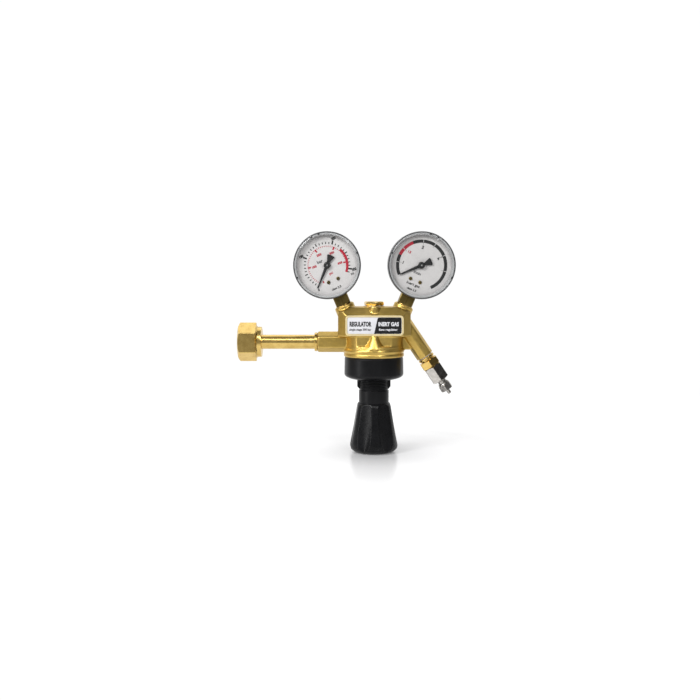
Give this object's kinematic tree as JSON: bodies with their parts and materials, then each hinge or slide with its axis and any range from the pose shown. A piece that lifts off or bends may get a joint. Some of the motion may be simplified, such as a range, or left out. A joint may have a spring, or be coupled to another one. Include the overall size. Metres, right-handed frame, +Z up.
{
  "type": "gas regulator",
  "caption": "Cylinder gas regulator with two tilted dial gauges, forged brass body, lobed adjusting knob, inlet union nut and slanting hose outlet.",
  "frame": {"origin": "centre of the flat end of the adjusting knob, on the axis the knob, the springs and the valve share", "axes": "+Z up that axis from the knob to the valve plug, +X from the inlet nut towards the outlet arm, -Y the side the dials and the label face"},
  "size_m": [0.2037, 0.0659, 0.2089],
  "materials": {
    "forged_brass": "hot-forged and tumbled, satin, slightly uneven",
    "turned_brass": "machined from bar, bright, with fine turning marks",
    "nickel_plate": "nickel plate, semi-bright",
    "steel": "zinc-plated or bright steel",
    "light_alloy": "turned aluminium",
    "black_plastic": "moulded, satin black",
    "cap_plastic": "moulded, satin black",
    "diaphragm_rubber": "fabric-backed rubber",
    "seal_plastic": "off-white nylon",
    "label_face": "printed plate, white and black halves",
    "case_metal": "dark lacquered steel cup",
    "clear_window": "clear polycarbonate",
    "dial_white": "white enamel with printed scale",
    "pointer_black": "black enamel"
  },
  "bodies": {
    "body": {"valve_body": "forged_brass", "label_plate": "label_face", "valve_plug": "turned_brass", "plug_seal": "seal_plastic", "valve_seat": "turned_brass", "poppet_spring": "steel", "diaphragm": "diaphragm_rubber", "slip_ring": "light_alloy", "bonnet": "black_plastic", "spindle_bush": "turned_brass", "main_spring": "steel", "relief_valve_body": "turned_brass", "relief_cap": "turned_brass", "relief_spring": "steel", "inlet_nipple": "turned_brass", "inlet_filter": "steel", "inlet_seal": "seal_plastic", "outlet_seal": "seal_plastic", "outlet_adapter": "turned_brass", "hose_connector": "nickel_plate", "hose_tail": "nickel_plate", "supply_gauge_case": "case_metal", "supply_gauge_window": "clear_window", "supply_gauge_dial": "dial_white", "supply_gauge_dial_screws": "turned_brass", "supply_gauge_socket": "turned_brass", "supply_gauge_seal": "seal_plastic", "supply_gauge_bourdon_tube": "turned_brass", "supply_gauge_movement_frame": "turned_brass", "flow_gauge_case": "case_metal", "flow_gauge_window": "clear_window", "flow_gauge_dial": "dial_white", "flow_gauge_dial_screws": "turned_brass", "flow_gauge_socket": "turned_brass", "flow_gauge_seal": "seal_plastic", "flow_gauge_bourdon_tube": "turned_brass", "flow_gauge_movement_frame": "turned_brass"},
    "slip_washer": {"slip_washer": "steel"},
    "inlet_nut": {"inlet_nut": "turned_brass"},
    "spring_button": {"spring_button": "steel"},
    "knob": {"adjusting_knob": "black_plastic", "knob_cap": "cap_plastic", "spindle": "steel", "thrust_ball": "steel"},
    "valve_train": {"diaphragm_plate": "light_alloy", "valve_pin": "steel", "valve_poppet": "steel"},
    "relief_poppet": {"relief_poppet": "turned_brass"},
    "supply_gauge_pointer": {"supply_gauge_pointer": "pointer_black", "supply_gauge_pinion": "turned_brass"},
    "supply_gauge_sector": {"supply_gauge_sector": "turned_brass"},
    "flow_gauge_pointer": {"flow_gauge_pointer": "pointer_black", "flow_gauge_pinion": "turned_brass"},
    "flow_gauge_sector": {"flow_gauge_sector": "turned_brass"},
    "hose_nut": {"hose_nut": "nickel_plate"}
  },
  "joints": [
    {"name": "nut_slide", "type": "slide", "parent": "body", "child": "slip_washer", "axis": [1, 0, 0], "range_m": [0, 0.0498]},
    {"name": "nut_spin", "type": "hinge", "parent": "slip_washer", "child": "inlet_nut", "pos_m": [-0.1204, 0, 0.1051], "axis": [1, 0, 0], "continuous": true},
    {"name": "knob_travel", "type": "slide", "parent": "body", "child": "spring_button", "axis": [0, 0, 1], "range_m": [0, 0.0091], "deforming": ["main_spring"]},
    {"name": "knob_turn", "type": "hinge", "parent": "spring_button", "child": "knob", "pos_m": [0, 0, 0.02], "axis": [0, 0, 1], "range_deg": [0, 2160]},
    {"name": "valve_lift", "type": "slide", "parent": "body", "child": "valve_train", "axis": [0, 0, 1], "range_m": [0, 0.0009], "deforming": ["poppet_spring", "diaphragm"]},
    {"name": "relief_lift", "type": "slide", "parent": "body", "child": "relief_poppet", "axis": [0, 0, 1], "range_m": [0, 0.0015], "stiffness_N_per_m": 2000, "springref_m": -0.002, "deforming": ["relief_spring"]},
    {"name": "hose_nut_spin", "type": "hinge", "parent": "body", "child": "hose_nut", "pos_m": [0.06807, 0, 0.06258], "axis": [0.5592, 0, -0.829], "continuous": true},
    {"name": "supply_gauge_sector_turn", "type": "hinge", "parent": "body", "child": "supply_gauge_sector", "pos_m": [-0.03864, 0, 0.16447], "axis": [0, 1, 0], "range_deg": [-45, 0], "stiffness_Nm_per_rad": 0.002},
    {"name": "supply_gauge_pointer_turn", "type": "hinge", "parent": "body", "child": "supply_gauge_pointer", "pos_m": [-0.044, 0, 0.1774], "axis": [0, 1, 0], "range_deg": [0, 270], "stiffness_Nm_per_rad": 0.00002},
    {"name": "flow_gauge_sector_turn", "type": "hinge", "parent": "body", "child": "flow_gauge_sector", "pos_m": [0.03864, 0, 0.16447], "axis": [0, 1, 0], "range_deg": [-45, 0], "stiffness_Nm_per_rad": 0.002},
    {"name": "flow_gauge_pointer_turn", "type": "hinge", "parent": "body", "child": "flow_gauge_pointer", "pos_m": [0.044, 0, 0.1774], "axis": [0, 1, 0], "range_deg": [0, 270], "stiffness_Nm_per_rad": 0.00002}
  ],
  "couplings": [
    {"joint": "knob_travel", "follows": "knob_turn", "m_per_rad": 0.00023873},
    {"joint": "valve_lift", "follows": "knob_turn", "m_per_rad": 0.000023873},
    {"joint": "supply_gauge_pointer_turn", "follows": "supply_gauge_sector_turn", "ratio": -6},
    {"joint": "flow_gauge_pointer_turn", "follows": "flow_gauge_sector_turn", "ratio": -6}
  ]
}
